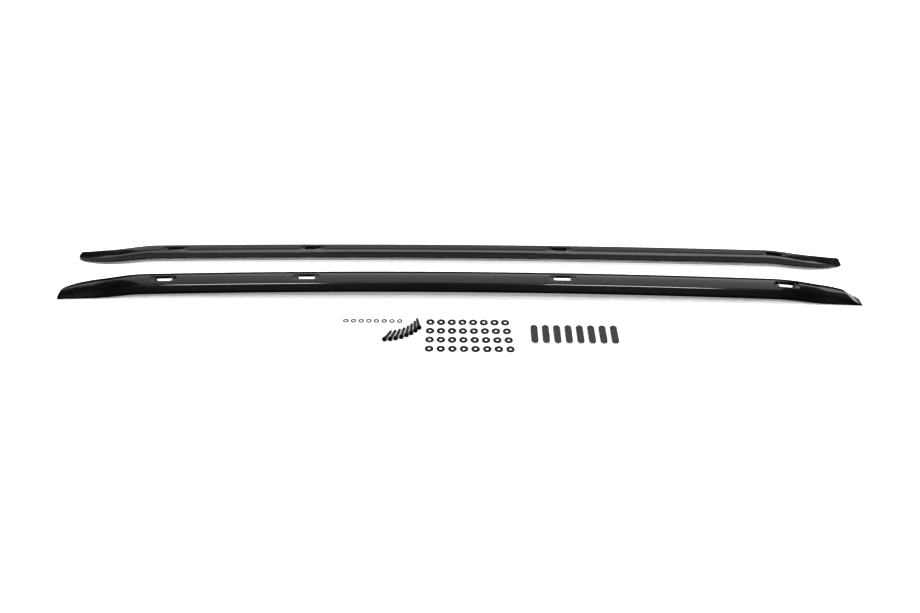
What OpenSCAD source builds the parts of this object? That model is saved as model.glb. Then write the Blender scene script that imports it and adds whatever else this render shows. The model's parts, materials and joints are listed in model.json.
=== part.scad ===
// Pair of flush roof side rails with their loose fixings.
// The left and right rails lie side by side as on a roof, and the fixings lie in front of the left one.
// X runs along the rails from the front of the vehicle to its rear, Y across them from the left rail
// to the right one, and Z is up from the ground.

/* [Rail] */
// Length of each rail from tip to tip
rail_l = 1775; // [1500:5:2100]
// Width of the rail across its underside
rail_w = 46; // [44:1:60]
// Height of the crown above the underside
crown_h = 24.5; // [24:0.5:34]
// Distance of the crown from the outer side
crown_y = 36; // [33:0.5:38]
// Distance of the outer top edge from the outer side
edge_y = 10; // [7:0.5:12]
// Height of the outer top edge above the underside
edge_h = 19.5; // [18:0.5:21]
// Height at which the outer side is widest
belt_h = 4.2; // [3:0.1:6]
// How far the foot of the outer side tucks under
foot_tuck = 1.6; // [0.5:0.1:2.5]
// Wall of the rail shell
wall = 2.5; // [1.5:0.1:3]
// Rise of the main arch over the whole length
arch_rise = 17; // [5:1:40]
// Inward bow of the middle of the rail, seen from above
plan_bow = 5; // [0:1:15]
// Distance between the outer sides of the two rails
rail_spread = 173; // [150:1:260]

/* [Nose] */
// Length over which the top falls to the tip
nose_l = 165; // [120:5:220]
// Share of the crown height that is left at the tip
tip_height = 0.35; // [0.3:0.01:0.6]
// Length over which the inner side rounds into the tip
round_l = 90; // [40:5:120]
// Share of the width that is left at the tip
tip_width = 0.45; // [0.35:0.01:0.8]
// Depth by which the underside drops at both ends
skirt_drop = 7.5; // [2:0.5:12]
// Where the drop of the underside ends, from the tip
skirt_end = 190; // [150:5:240]
// Where the drop of the underside is complete, from the tip
skirt_full = 80; // [40:5:120]
// Backward lean of the tip face, as run over rise
tip_lean = 0.8; // [0:0.1:1.5]

/* [Slots] */
// Distance of the first slot from the front tip
slot_1 = 235; // [210:5:260]
// Distance of the second slot from the front tip
slot_2 = 550; // [500:5:600]
// Distance of the third slot from the front tip
slot_3 = 1113; // [1060:1:1160]
// Distance of the fourth slot from the rear tip
slot_4 = 169; // [165:1:200]
// Length of a slot
slot_l = 38; // [30:1:44]
// Width of a slot
slot_w = 14; // [10:0.5:16]
// Distance of the slot's middle from the outer side
slot_y = 28; // [26:0.5:29]
// Length of the shallow seat around a slot
seat_l = 58; // [50:1:64]
// Width of the shallow seat around a slot
seat_w = 16.4; // [15:0.2:19]
// Depth of the shallow seat
seat_d = 1.2; // [0.6:0.1:1.5]

/* [Base and seal] */
// Thickness of the rubber seal under the rail
seal_t = 1.5; // [1:0.1:3]
// Thickness of the bright base strip
base_t = 2; // [1.5:0.1:3]
// Gap between the seal's edge and the sides of the rail
seal_inset = 0.6; // [0.2:0.1:1.5]
// Height of the inner wall's lower edge above the underside
gap_h = 10.3; // [8:0.1:12]
// Where the base strip starts, from the tip
base_start = 20; // [16:1:40]

/* [Mounting feet] */
// Thickness of the floor of a foot
foot_floor = 3; // [2:0.5:4]
// Thickness of the two end walls of a foot
foot_wall = 3.5; // [2.5:0.5:5]
// Depth of a foot across the rail
foot_w = 25; // [22:1:26]
// Diameter of the bolt hole in a foot
bolt_hole_d = 6.6; // [6.4:0.1:7.4]
// Diameter of the bolt hole in the base strip
base_hole_d = 8; // [7.5:0.1:9]
// Diameter of the bolt hole in the seal
seal_hole_d = 9; // [8:0.1:12]
// Diameter of the raised ring under the bolt head
ring_d = 13; // [12:0.5:13.5]
// Height of the raised ring
ring_h = 1; // [0.5:0.1:1.5]

/* [Slot caps] */
// Length of a cap's cover plate
cap_l = 56.4; // [48:0.2:60]
// Width of a cap's cover plate
cap_w = 14.8; // [14.4:0.2:18]
// Thickness of a cap's cover plate
cap_t = 1.6; // [1.2:0.1:2.5]
// Height of the clip skirt under the plate
skirt_h = 3.2; // [2:0.2:5]
// Wall of the clip skirt
skirt_wall = 1.4; // [1:0.1:2]

/* [Fasteners] */
// Thread diameter of a bolt
bolt_d = 6; // [5.8:0.1:6.2]
// Length of a bolt under its head
bolt_l = 28; // [20:1:40]
// Diameter of the bolt head
head_d = 10; // [9:0.1:10.4]
// Height of the straight side of the bolt head
head_h = 6; // [5:0.5:7]
// Width of the hexagon socket across its flats
key_w = 5; // [4:0.5:6]
// Depth of the hexagon socket
key_depth = 3; // [2:0.5:4]
// Outer diameter of a spring washer
spring_d = 11.8; // [11:0.1:12.4]
// Thickness of a spring washer
spring_t = 1.6; // [1.2:0.1:2]
// Outer diameter of a flat washer
washer_d = 18; // [16:0.5:20]
// Thickness of a flat washer
washer_t = 1.8; // [1.2:0.1:3]
// Diameter of the hole in a flat washer
washer_hole_d = 6.4; // [6.2:0.1:7]

/* [Layout] */
// Distance of the first washer row from the middle line between the rails
washer_row_y = 152; // [150:1:170]
// Distance between the washer rows
washer_pitch_y = 28; // [22:1:34]
// Distance between the washers of the first row
washer_pitch_x = 22.9; // [21:0.1:27]
// Distance of the caps' middle from the middle line between the rails
cap_row_y = 190; // [188:1:210]
// Distance between the caps
cap_pitch = 24.1; // [20:0.1:30]
// Distance between the spring washers
spring_pitch = 16.5; // [14:0.1:20]

/* [Hidden] */
$fn = 48;
eps = 0.01;
slot_x = [slot_1 - rail_l/2, slot_2 - rail_l/2, slot_3 - rail_l/2, rail_l/2 - slot_4];
top_slope = atan((crown_h - edge_h)/(crown_y - edge_y));
slot_h = edge_h + (slot_y - edge_y)*tan(top_slope);
base_top = seal_t + base_t;
inner_drop = 0.8;
side_clear = 0.2;
foot_clear = 0.3;
foot_lift = 0.1;
foot_y0 = slot_y - foot_w/2;
foot_y1 = slot_y + foot_w/2;
foot_l = slot_l + 2*foot_clear + 2*foot_wall;
nose_steps = 10;
mid_steps = 14;
arc_steps = 3;
corner_share = 0.48;
lean_reach = 60;
belt_r = 3.5;
edge_r = 3;
crown_r = 30;
top_r = 6;
inner_top_r = 3.5;
inner_crown_r = 27;
inner_edge_in = 0.7;
front_cut = 87.5;
second_cut = 137.5;
third_cut = 135.5;
fourth_cut = 8;
rear_cut = 51.5;
front_end = slot_x[0] - front_cut;
between_12 = (slot_x[0] + slot_x[1])/2;
between_23 = (slot_x[1] + slot_x[2])/2;
between_34 = (slot_x[2] + slot_x[3])/2 + fourth_cut;
rear_end = slot_x[3] + rear_cut;
shell_cuts = [-rail_l/2, front_end, between_12, slot_x[1] + second_cut, slot_x[2] - third_cut,
    between_34, rear_end, rail_l/2];
strip_cuts = [-rail_l/2, front_end, between_12, between_23, between_34, rear_end, rail_l/2];
slot_cut = 6*wall;
seat_cut = 4*wall;
base_cut = 4*base_top;
seal_cut = 4*seal_t;
foot_cut = 3*base_top + foot_floor + ring_h;
station_clear = 1;
roof_relief = 1;
crown_relief = 0.4;
crown_inset = 2;
cavity_start = 17;
lip_start = 0.5;
lip_full = 110;
washer_rows = 4;
washers_in_row = 8;
spring_hole_d = bolt_d + 0.3;
spring_gap = 12;
spring_turn = 70;
fixing_count = 8;
head_bevel = 0.5;
end_bevel = 1;
cap_fit = 0.4;
cap_bevel = 0.5;
bolt_tilt = atan((head_d - bolt_d)/2/bolt_l);
fan_r = 87.4;
fan_x = -158.5;
fan_y = -122.2;
fan_start = 2.1;
fan_step = 7.7;
bolt_turn_first = 23;
bolt_turn_step = -4.8;
washer_first_x = -62.2;
washer_spread = 0.4;
cap_first_x = 158.6;
spring_first_x = -244;
spring_row_y = 149.5;
front_reach = washer_row_y + (washer_rows - 1)*washer_pitch_y + washer_d/2;
back_reach = rail_spread/2;
mid_y = (front_reach - back_reach)/2;

// Curves along the rail. x is measured from the middle of the rail.

// Distance from the nearer tip
function tip_dist(x) = rail_l/2 - abs(x);

// A smooth step from 0 at a to 1 at b
function ease(t, a, b) = let(u = min(1, max(0, (t - a)/(b - a)))) u*u*(3 - 2*u);

// Share of the arch that is left at x: 1 in the middle and 0 at the tips
function arch_part(x) = 1 - pow(2*x/rail_l, 2);

// Height of the underside: a long arch whose ends drop to the ground
function under_z(x) = skirt_drop + arch_rise*arch_part(x) - skirt_drop*(1 - ease(tip_dist(x), skirt_full, skirt_end));

// Inward bow of the rail seen from above
function bow_y(x) = plan_bow*arch_part(x);

// Slope of the underside along the rail, in degrees
function pitch_at(x) = atan(under_z(x + 0.5) - under_z(x - 0.5));

// Share of the full section height at x
function height_part(x) = tip_height + (1 - tip_height)*sin(90*min(1, tip_dist(x)/nose_l));

// Share of the full section width at x
function width_part(x) =
    let(t = min(1, tip_dist(x)/round_l))
    tip_width + (1 - tip_width)*sqrt(1 - (1 - t)*(1 - t));

// Places of the sections along the rail: close together in the noses, evenly spaced between them
function stations(start) =
    let(span = skirt_end - start)
    let(front = [for (i = [0 : nose_steps]) -rail_l/2 + start + span*pow(i/nose_steps, 2)])
    let(step = (rail_l - 2*skirt_end)/mid_steps)
    let(middle = [for (i = [1 : mid_steps - 1]) -rail_l/2 + skirt_end + i*step])
    concat(front, middle, [for (i = [nose_steps : -1 : 0]) -front[i]]);

// The same places between two cuts, and the cuts themselves. Where a cut is the tip, start moves it in.
function cut_stations(start, from, to) =
    let(low = max(from, start - rail_l/2), high = min(to, rail_l/2 - start))
    concat([low], [for (x = stations(start)) if (x > low + station_clear && x < high - station_clear) x], [high]);

// Rounded outline: each corner [y, z, r] becomes an arc of radius r that touches both of its sides
function unit(v) = v/norm(v);
function corner_arc(before, here, after, r) =
    let(a = unit(before - here), b = unit(after - here))
    let(half = acos(max(-1, min(1, a*b)))/2)
    let(reach = min(r/tan(half), corner_share*norm(before - here), corner_share*norm(after - here)))
    let(centre = here + unit(a + b)*reach/cos(half))
    let(from = here + a*reach - centre, to = here + b*reach - centre)
    [for (i = [0 : arc_steps])
        let(dir = from*(1 - i/arc_steps) + to*(i/arc_steps))
        centre + unit(dir)*norm(from)];
function rounded(corners) =
    let(n = len(corners))
    [for (i = [0 : n - 1])
        let(c = corners[i], here = [c[0], c[1]])
        let(p = corners[(i + n - 1)%n], q = corners[(i + 1)%n])
        each c[2] == 0 ? [here] : corner_arc([p[0], p[1]], here, [q[0], q[1]], c[2])];

// Height of the inner wall's lower edge: close to the base strip at the tips, and gap_h between the noses
function lip_z(x) =
    base_top + lip_start + (gap_h - base_top - lip_start)*ease(tip_dist(x), cavity_start, lip_full);

// Outer face of the rail at x, in the plane across it, from the outer foot over the top to the inner lip:
// [distance from the outer side, height above the underside]
function outer_path(x) =
    let(h = height_part(x), k = width_part(x), w = rail_w*k)
    rounded([
        [foot_tuck*k, seal_t, 0],
        [0, seal_t + (belt_h - seal_t)*h, belt_r*h],
        [edge_y*k, edge_h*h, edge_r*h],
        [crown_y*k, crown_h*h, crown_r*h],
        [w, (crown_h - inner_drop)*h, top_r*h],
        [w, lip_z(x), 0]
    ]);

// Inner face of the rail at x, one wall further in, from the inner lip back to the outer foot
function inner_path(x) =
    let(h = height_part(x), k = width_part(x), w = rail_w*k)
    rounded([
        [w - wall, lip_z(x), 0],
        [w - wall, (crown_h - inner_drop)*h - wall, inner_top_r*h],
        [crown_y*k, crown_h*h - wall, inner_crown_r*h],
        [edge_y*k + inner_edge_in*wall, edge_h*h - wall, 0],
        [wall, seal_t + (belt_h - seal_t)*h, 0],
        [foot_tuck*k + wall, seal_t, 0]
    ]);

// The two corners that close a solid nose along its underside
function nose_floor(x) =
    let(k = width_part(x))
    [[rail_w*k, seal_t], [foot_tuck*k + wall, seal_t]];

// Flat bar outline between two heights, used for the base strip and the seal
function bar_outline(y0, y1, z0, z1) = [[y0, z0], [y0, z1], [y1, z1], [y1, z0]];

// An outline carried to its place at x. The tip faces lean back.
function placed(outline, x) =
    let(near = max(0, 1 - tip_dist(x)/lean_reach))
    [for (p = outline)
        [x - sign(x)*near*near*tip_lean*p[1], bow_y(x) + p[0], under_z(x) + p[1]]];

// Solid through a row of outlines that all have the same number of points
module loft(rings) {
    m = len(rings);
    n = len(rings[0]);
    points = [for (ring = rings) each ring];
    first = [for (i = [n - 1 : -1 : 0]) i];
    last = [for (i = [0 : n - 1]) (m - 1)*n + i];
    sides = [for (k = [0 : m - 2]) for (i = [0 : n - 1])
        let(j = (i + 1)%n)
        each [[k*n + i, (k + 1)*n + j, (k + 1)*n + i], [k*n + i, k*n + j, (k + 1)*n + j]]];
    polyhedron(points = points, faces = concat([first], [last], sides), convexity = 6);
}

// Children are placed on the rail at x, turned to its slope there
module on_rail(x) {
    translate([x, bow_y(x), under_z(x)])
        rotate([0, -pitch_at(x), 0])
            children();
}

// Children are placed on the top of the rail at a slot, square to the top face
module on_slot(x) {
    on_rail(x)
        translate([0, slot_y, slot_h])
            rotate([top_slope, 0, 0])
                children();
}

// Plate with half-round ends, lying along X
module oblong(length, width, height) {
    reach = (length - width)/2;
    translate([-reach, -width/2, 0])
        cube([2*reach, width, height]);
    for (side = [-1, 1])
        translate([side*reach, 0, 0])
            cylinder(d = width, h = height);
}

// Faces between two rings of n points that follow each other along X
function ring_faces(from, to, n) =
    [for (i = [0 : n - 1])
        let(j = (i + 1)%n)
        each [[from[i], to[j], to[i]], [from[i], from[j], to[j]]]];

// A list in reverse order
function backwards(list) = [for (i = [len(list) - 1 : -1 : 0]) list[i]];

// Inner point that faces each outer point of the channel's ring, both counted from the outer foot
facing = [0, 1, 1, 1, 1, 2, 2, 2, 2, 3, 4, 5, 6, 7, 8, 9, 10, 11];

// Cut face of the channel, whose ring starts at point number base: triangles between its two faces
function cut_face(base, ring_n) =
    [for (i = [0 : len(facing) - 2])
        let(a = base + i, c = base + ring_n - 1 - facing[i + 1], d = base + ring_n - 1 - facing[i])
        each c == d ? [[a, a + 1, c]] : [[a, a + 1, c], [a, c, d]]];

// Length of the open channel between two cuts
module channel_part(from, to) {
    all = cut_stations(0, from, to);
    ring_n = len(outer_path(0)) + len(inner_path(0));
    last = (len(all) - 1)*ring_n;
    function ring(k) = [for (i = [0 : ring_n - 1]) k*ring_n + i];
    polyhedron(
        points = [for (x = all) each placed(concat(outer_path(x), inner_path(x)), x)],
        faces = concat(
            [for (k = [0 : len(all) - 2]) each ring_faces(ring(k), ring(k + 1), ring_n)],
            [for (f = cut_face(0, ring_n)) backwards(f)],
            cut_face(last, ring_n)),
        convexity = 6);
}

// Front end of the rail up to a cut: a solid nose and the start of the channel, in one piece.
// The channel's rings carry the outer and the inner face, and the nose's rings only the outer one.
module nose_part(cut) {
    all = cut_stations(0, -rail_l/2, cut);
    channel = [for (x = all) if (tip_dist(x) >= cavity_start) x];
    nose = backwards([for (x = all) if (tip_dist(x) < cavity_start) x]);
    outer_n = len(outer_path(0));
    ring_n = outer_n + len(inner_path(0));
    nose_n = outer_n + 2;
    count = len(channel);
    floor_at = count*ring_n;
    function ring(k) = [for (i = [0 : ring_n - 1]) k*ring_n + i];
    // Ring numbers of the nose, from its root at 0 to the tip
    function nose_ring(r) =
        r == 0
        ? concat([for (i = [0 : outer_n - 1]) i], [floor_at, ring_n - 1])
        : [for (i = [0 : nose_n - 1]) floor_at + 1 + (r - 1)*nose_n + i];
    polyhedron(
        points = concat(
            [for (x = channel) each placed(concat(outer_path(x), inner_path(x)), x)],
            [placed(nose_floor(channel[0]), channel[0])[0]],
            [for (x = nose) each placed(concat(outer_path(x), nose_floor(x)), x)]),
        faces = concat(
            [for (k = [0 : count - 2]) each ring_faces(ring(k), ring(k + 1), ring_n)],
            [for (r = [0 : len(nose) - 1]) each ring_faces(nose_ring(r + 1), nose_ring(r), nose_n)],
            [concat([outer_n - 1, floor_at], [for (i = [ring_n - 1 : -1 : outer_n]) i])],
            [backwards(nose_ring(len(nose)))],
            cut_face((count - 1)*ring_n, ring_n)),
        convexity = 8);
}

// Length of the rail shell between two of its cuts, with a slot and a shallow seat at each slot's place.
// The rear end has the shape of the front end, the other way round.
module shell_part(i) {
    from = shell_cuts[i];
    to = shell_cuts[i + 1];
    color("#17181a")
        difference() {
            if (i == 0)
                nose_part(to);
            else if (i == len(shell_cuts) - 2)
                mirror([1, 0, 0])
                    nose_part(-from);
            else
                channel_part(from, to);
            for (x = slot_x)
                if (x > from && x < to) {
                    on_slot(x)
                        translate([0, 0, -slot_cut/2])
                            oblong(slot_l, slot_w, slot_cut);
                    on_slot(x)
                        translate([0, 0, -seat_d])
                            oblong(seat_l, seat_w, seat_cut);
                }
        }
}

// Length of the bright strip that closes the underside and carries the feet
module base_strip_part(i) {
    from = strip_cuts[i];
    to = strip_cuts[i + 1];
    color("#c9cbcc")
        difference() {
            loft([for (x = cut_stations(base_start, from, to))
                let(k = width_part(x))
                placed(bar_outline(foot_tuck*k + wall + side_clear, rail_w*k - seal_inset, seal_t, base_top), x)]);
            for (x = slot_x)
                if (x > from && x < to)
                    on_rail(x)
                        translate([0, slot_y, 0])
                            cylinder(d = base_hole_d, h = base_cut);
        }
}

// Length of the rubber strip between the rail and the roof
module seal_part(i) {
    from = strip_cuts[i];
    to = strip_cuts[i + 1];
    color("#0d0d0e")
        difference() {
            loft([for (x = cut_stations(0, from, to))
                let(k = width_part(x))
                placed(bar_outline(foot_tuck*k + seal_inset, rail_w*k - seal_inset, 0, seal_t), x)]);
            for (x = slot_x)
                if (x > from && x < to)
                    on_rail(x)
                        translate([0, slot_y, -seal_t])
                            cylinder(d = seal_hole_d, h = seal_cut);
        }
}

// Height of the hollow's roof above the underside, at a distance y from the outer side
function roof_z(y) = edge_h + (y - edge_y)*tan(top_slope) - wall/cos(top_slope) - foot_clear;

// Foot under a slot: a floor with a raised ring for the bolt head, between two walls that hold the top up
module foot(x) {
    floor_z = base_top + foot_lift;
    color("#3a3c3f")
        on_rail(x)
            difference() {
                union() {
                    translate([-foot_l/2, foot_y0, floor_z])
                        cube([foot_l, foot_w, foot_floor]);
                    for (side = [-1, 1])
                        translate([side*(foot_l - foot_wall)/2 - foot_wall/2, 0, 0])
                            rotate([90, 0, 90])
                                linear_extrude(height = foot_wall)
                                    polygon([
                                        [foot_y0, floor_z], [foot_y1, floor_z],
                                        [foot_y1, roof_z(foot_y1) - roof_relief],
                                        [crown_y - crown_inset, roof_z(crown_y - crown_inset) - crown_relief],
                                        [foot_y0, roof_z(foot_y0)]
                                    ]);
                    translate([0, slot_y, floor_z])
                        cylinder(d = ring_d, h = foot_floor + ring_h);
                }
                translate([0, slot_y, 0])
                    cylinder(d = bolt_hole_d, h = foot_cut);
            }
}

// One rail's place: the left rail has its outer side towards the front, and the right rail is its mirror image
module left() {
    translate([0, mid_y - rail_spread/2, 0])
        children();
}
module right() {
    translate([0, mid_y + rail_spread/2, 0])
        mirror([0, 1, 0])
            children();
}

// Loose cap for a slot: a cover plate with bevelled edges over a clip skirt that fits the slot
module slot_cap(i) {
    color("#2b2d30")
        translate([cap_first_x + i*cap_pitch, mid_y - cap_row_y, 0])
            rotate([0, 0, 90]) {
                translate([0, 0, skirt_h])
                    oblong(cap_l, cap_w, cap_t - cap_bevel);
                translate([0, 0, skirt_h + cap_t - cap_bevel])
                    oblong(cap_l - 2*cap_bevel, cap_w - 2*cap_bevel, cap_bevel);
                difference() {
                    oblong(slot_l - cap_fit, slot_w - cap_fit, skirt_h);
                    translate([0, 0, -eps])
                        oblong(slot_l - cap_fit - 2*skirt_wall, slot_w - cap_fit - 2*skirt_wall, skirt_h + eps);
                }
            }
}

// Socket head bolt with its axis along Y: the head is at the front and the thread points back
module socket_bolt() {
    rotate([-90, 0, 0])
        difference() {
            union() {
                translate([0, 0, -head_h])
                    cylinder(d = head_d, h = head_h);
                translate([0, 0, -head_h - head_bevel])
                    cylinder(d1 = head_d - 2*head_bevel, d2 = head_d, h = head_bevel);
                cylinder(d = bolt_d, h = bolt_l - end_bevel);
                translate([0, 0, bolt_l - end_bevel])
                    cylinder(d1 = bolt_d, d2 = bolt_d - 2*end_bevel, h = end_bevel);
            }
            translate([0, 0, -head_h - 2*head_bevel])
                cylinder(d = key_w/cos(30), h = key_depth + 2*head_bevel, $fn = 6);
        }
}

// The bolts lie in a fan, each one on the rim of its head and the end of its thread
module socket_bolts() {
    color("#151516")
        for (i = [0 : fixing_count - 1]) {
            around = fan_start + i*fan_step;
            translate([fan_x + fan_r*sin(around), mid_y + fan_y - fan_r*cos(around), head_d/2*cos(bolt_tilt)])
                rotate([0, 0, -(bolt_turn_first + i*bolt_turn_step)])
                    rotate([-bolt_tilt, 0, 0])
                        socket_bolt();
        }
}

// Split spring washers in one row
module spring_washers() {
    ring = (spring_d - spring_hole_d)/2;
    color("#77797c")
        for (i = [0 : fixing_count - 1])
            translate([spring_first_x + i*spring_pitch, mid_y - spring_row_y, 0])
                rotate([0, 0, spring_turn*i])
                    rotate_extrude(angle = 360 - spring_gap)
                        translate([spring_hole_d/2, 0])
                            square([ring, spring_t]);
}

// One row of flat washers. The rows nearer the front are spread a little wider.
module flat_washers(row) {
    pitch = washer_pitch_x + washer_spread*row;
    color("#121213")
        for (i = [0 : washers_in_row - 1])
            translate([washer_first_x + i*pitch, mid_y - washer_row_y - row*washer_pitch_y, 0])
                difference() {
                    cylinder(d = washer_d, h = washer_t);
                    translate([0, 0, -washer_t])
                        cylinder(d = washer_hole_d, h = 3*washer_t);
                }
}

left() shell_part(0);  // left_shell_1
left() shell_part(1);  // left_shell_2
left() shell_part(2);  // left_shell_3
left() shell_part(3);  // left_shell_4
left() shell_part(4);  // left_shell_5
left() shell_part(5);  // left_shell_6
left() shell_part(6);  // left_shell_7
left() base_strip_part(0);  // left_base_strip_1
left() base_strip_part(1);  // left_base_strip_2
left() base_strip_part(2);  // left_base_strip_3
left() base_strip_part(3);  // left_base_strip_4
left() base_strip_part(4);  // left_base_strip_5
left() base_strip_part(5);  // left_base_strip_6
left() seal_part(0);  // left_seal_1
left() seal_part(1);  // left_seal_2
left() seal_part(2);  // left_seal_3
left() seal_part(3);  // left_seal_4
left() seal_part(4);  // left_seal_5
left() seal_part(5);  // left_seal_6
left() foot(slot_x[0]);  // left_foot_1
left() foot(slot_x[1]);  // left_foot_2
left() foot(slot_x[2]);  // left_foot_3
left() foot(slot_x[3]);  // left_foot_4
right() shell_part(0);  // right_shell_1
right() shell_part(1);  // right_shell_2
right() shell_part(2);  // right_shell_3
right() shell_part(3);  // right_shell_4
right() shell_part(4);  // right_shell_5
right() shell_part(5);  // right_shell_6
right() shell_part(6);  // right_shell_7
right() base_strip_part(0);  // right_base_strip_1
right() base_strip_part(1);  // right_base_strip_2
right() base_strip_part(2);  // right_base_strip_3
right() base_strip_part(3);  // right_base_strip_4
right() base_strip_part(4);  // right_base_strip_5
right() base_strip_part(5);  // right_base_strip_6
right() seal_part(0);  // right_seal_1
right() seal_part(1);  // right_seal_2
right() seal_part(2);  // right_seal_3
right() seal_part(3);  // right_seal_4
right() seal_part(4);  // right_seal_5
right() seal_part(5);  // right_seal_6
right() foot(slot_x[0]);  // right_foot_1
right() foot(slot_x[1]);  // right_foot_2
right() foot(slot_x[2]);  // right_foot_3
right() foot(slot_x[3]);  // right_foot_4
slot_cap(0);  // slot_cap_1
slot_cap(1);  // slot_cap_2
slot_cap(2);  // slot_cap_3
slot_cap(3);  // slot_cap_4
slot_cap(4);  // slot_cap_5
slot_cap(5);  // slot_cap_6
slot_cap(6);  // slot_cap_7
slot_cap(7);  // slot_cap_8
socket_bolts();
spring_washers();
flat_washers(0);  // flat_washers_row_1
flat_washers(1);  // flat_washers_row_2
flat_washers(2);  // flat_washers_row_3
flat_washers(3);  // flat_washers_row_4
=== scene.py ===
"""Roof side rail pair with its loose fixings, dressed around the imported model.

The classes hold their sizes in millimetres, and a mesh is turned into metres as it is made. X runs along
the rails, Y across them from the left rail to the right one, and Z is up from the ground. MM is a
millimetre in metres, WELD the distance in metres within which points are one, and RAILS_MIDDLE_Y the place
of the line midway between the rails.
"""

import json
import logging
import math
from dataclasses import dataclass, field
from enum import Enum
from typing import Any, Optional, Sequence, Union

import bmesh
import bpy
import numpy as np
from mathutils import Matrix, Vector

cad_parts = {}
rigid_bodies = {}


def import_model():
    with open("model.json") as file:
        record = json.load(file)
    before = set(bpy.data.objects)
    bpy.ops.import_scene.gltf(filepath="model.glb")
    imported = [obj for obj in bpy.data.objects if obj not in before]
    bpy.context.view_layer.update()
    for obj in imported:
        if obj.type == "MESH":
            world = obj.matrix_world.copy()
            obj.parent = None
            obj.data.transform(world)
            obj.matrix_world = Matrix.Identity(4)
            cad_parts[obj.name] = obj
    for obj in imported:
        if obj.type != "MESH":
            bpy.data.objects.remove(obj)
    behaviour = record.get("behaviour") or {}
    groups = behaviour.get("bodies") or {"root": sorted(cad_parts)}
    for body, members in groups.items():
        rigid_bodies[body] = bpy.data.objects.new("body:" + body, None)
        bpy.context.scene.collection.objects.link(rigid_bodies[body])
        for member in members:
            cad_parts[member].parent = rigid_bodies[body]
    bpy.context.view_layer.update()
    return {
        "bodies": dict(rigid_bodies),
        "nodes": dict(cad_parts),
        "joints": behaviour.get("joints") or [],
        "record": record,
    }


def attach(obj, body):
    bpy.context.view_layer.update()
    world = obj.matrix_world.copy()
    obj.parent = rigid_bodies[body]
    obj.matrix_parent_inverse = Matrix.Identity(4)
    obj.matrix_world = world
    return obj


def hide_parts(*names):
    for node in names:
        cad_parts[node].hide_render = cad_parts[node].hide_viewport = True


MM = 0.001
WELD = 1e-7
RAILS_MIDDLE_Y = 79.25
LOG = logging.getLogger("roof_rails")
Number = Union[float, int]


class Side(Enum):
    """The two rails. The left one has its outer side towards the front of the set."""

    LEFT = "left"
    RIGHT = "right"


class Axis(Enum):
    """An axis to turn about, with the two coordinates that the turn changes."""

    X = (1, 2)
    Z = (0, 1)


# Shader maths


class Wire:
    """A shader value that can be added, multiplied and compared with others or with numbers."""

    def __init__(self, graph: "Graph", socket: Any) -> None:
        """Wraps an output socket of a node in graph."""
        self.graph = graph
        self.socket = socket

    def _math(self, operation: str, *others: Any) -> "Wire":
        """Adds one Math node.

        Args:
            operation: the Math node's operation.
            others: its values, in order.

        Returns:
            The node's result.
        """
        return self.graph.add("ShaderNodeMath", {"operation": operation}, dict(enumerate(others)))

    def __add__(self, other: Any) -> "Wire":
        """Sum."""
        return self._math("ADD", self, other)

    def __radd__(self, other: Any) -> "Wire":
        """Sum with a number on the left."""
        return self._math("ADD", other, self)

    def __mul__(self, other: Any) -> "Wire":
        """Product."""
        return self._math("MULTIPLY", self, other)

    def __rmul__(self, other: Any) -> "Wire":
        """Product with a number on the left."""
        return self._math("MULTIPLY", other, self)

    def at_most(self, other: Any) -> "Wire":
        """The smaller of the two values."""
        return self._math("MINIMUM", self, other)

    def step(self, low: Number, high: Number) -> "Wire":
        """A smooth step from 0 at low to 1 at high."""
        values = {"Value": self, "From Min": low, "From Max": high}
        return self.graph.add("ShaderNodeMapRange", {"interpolation_type": "SMOOTHSTEP"}, values)


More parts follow.
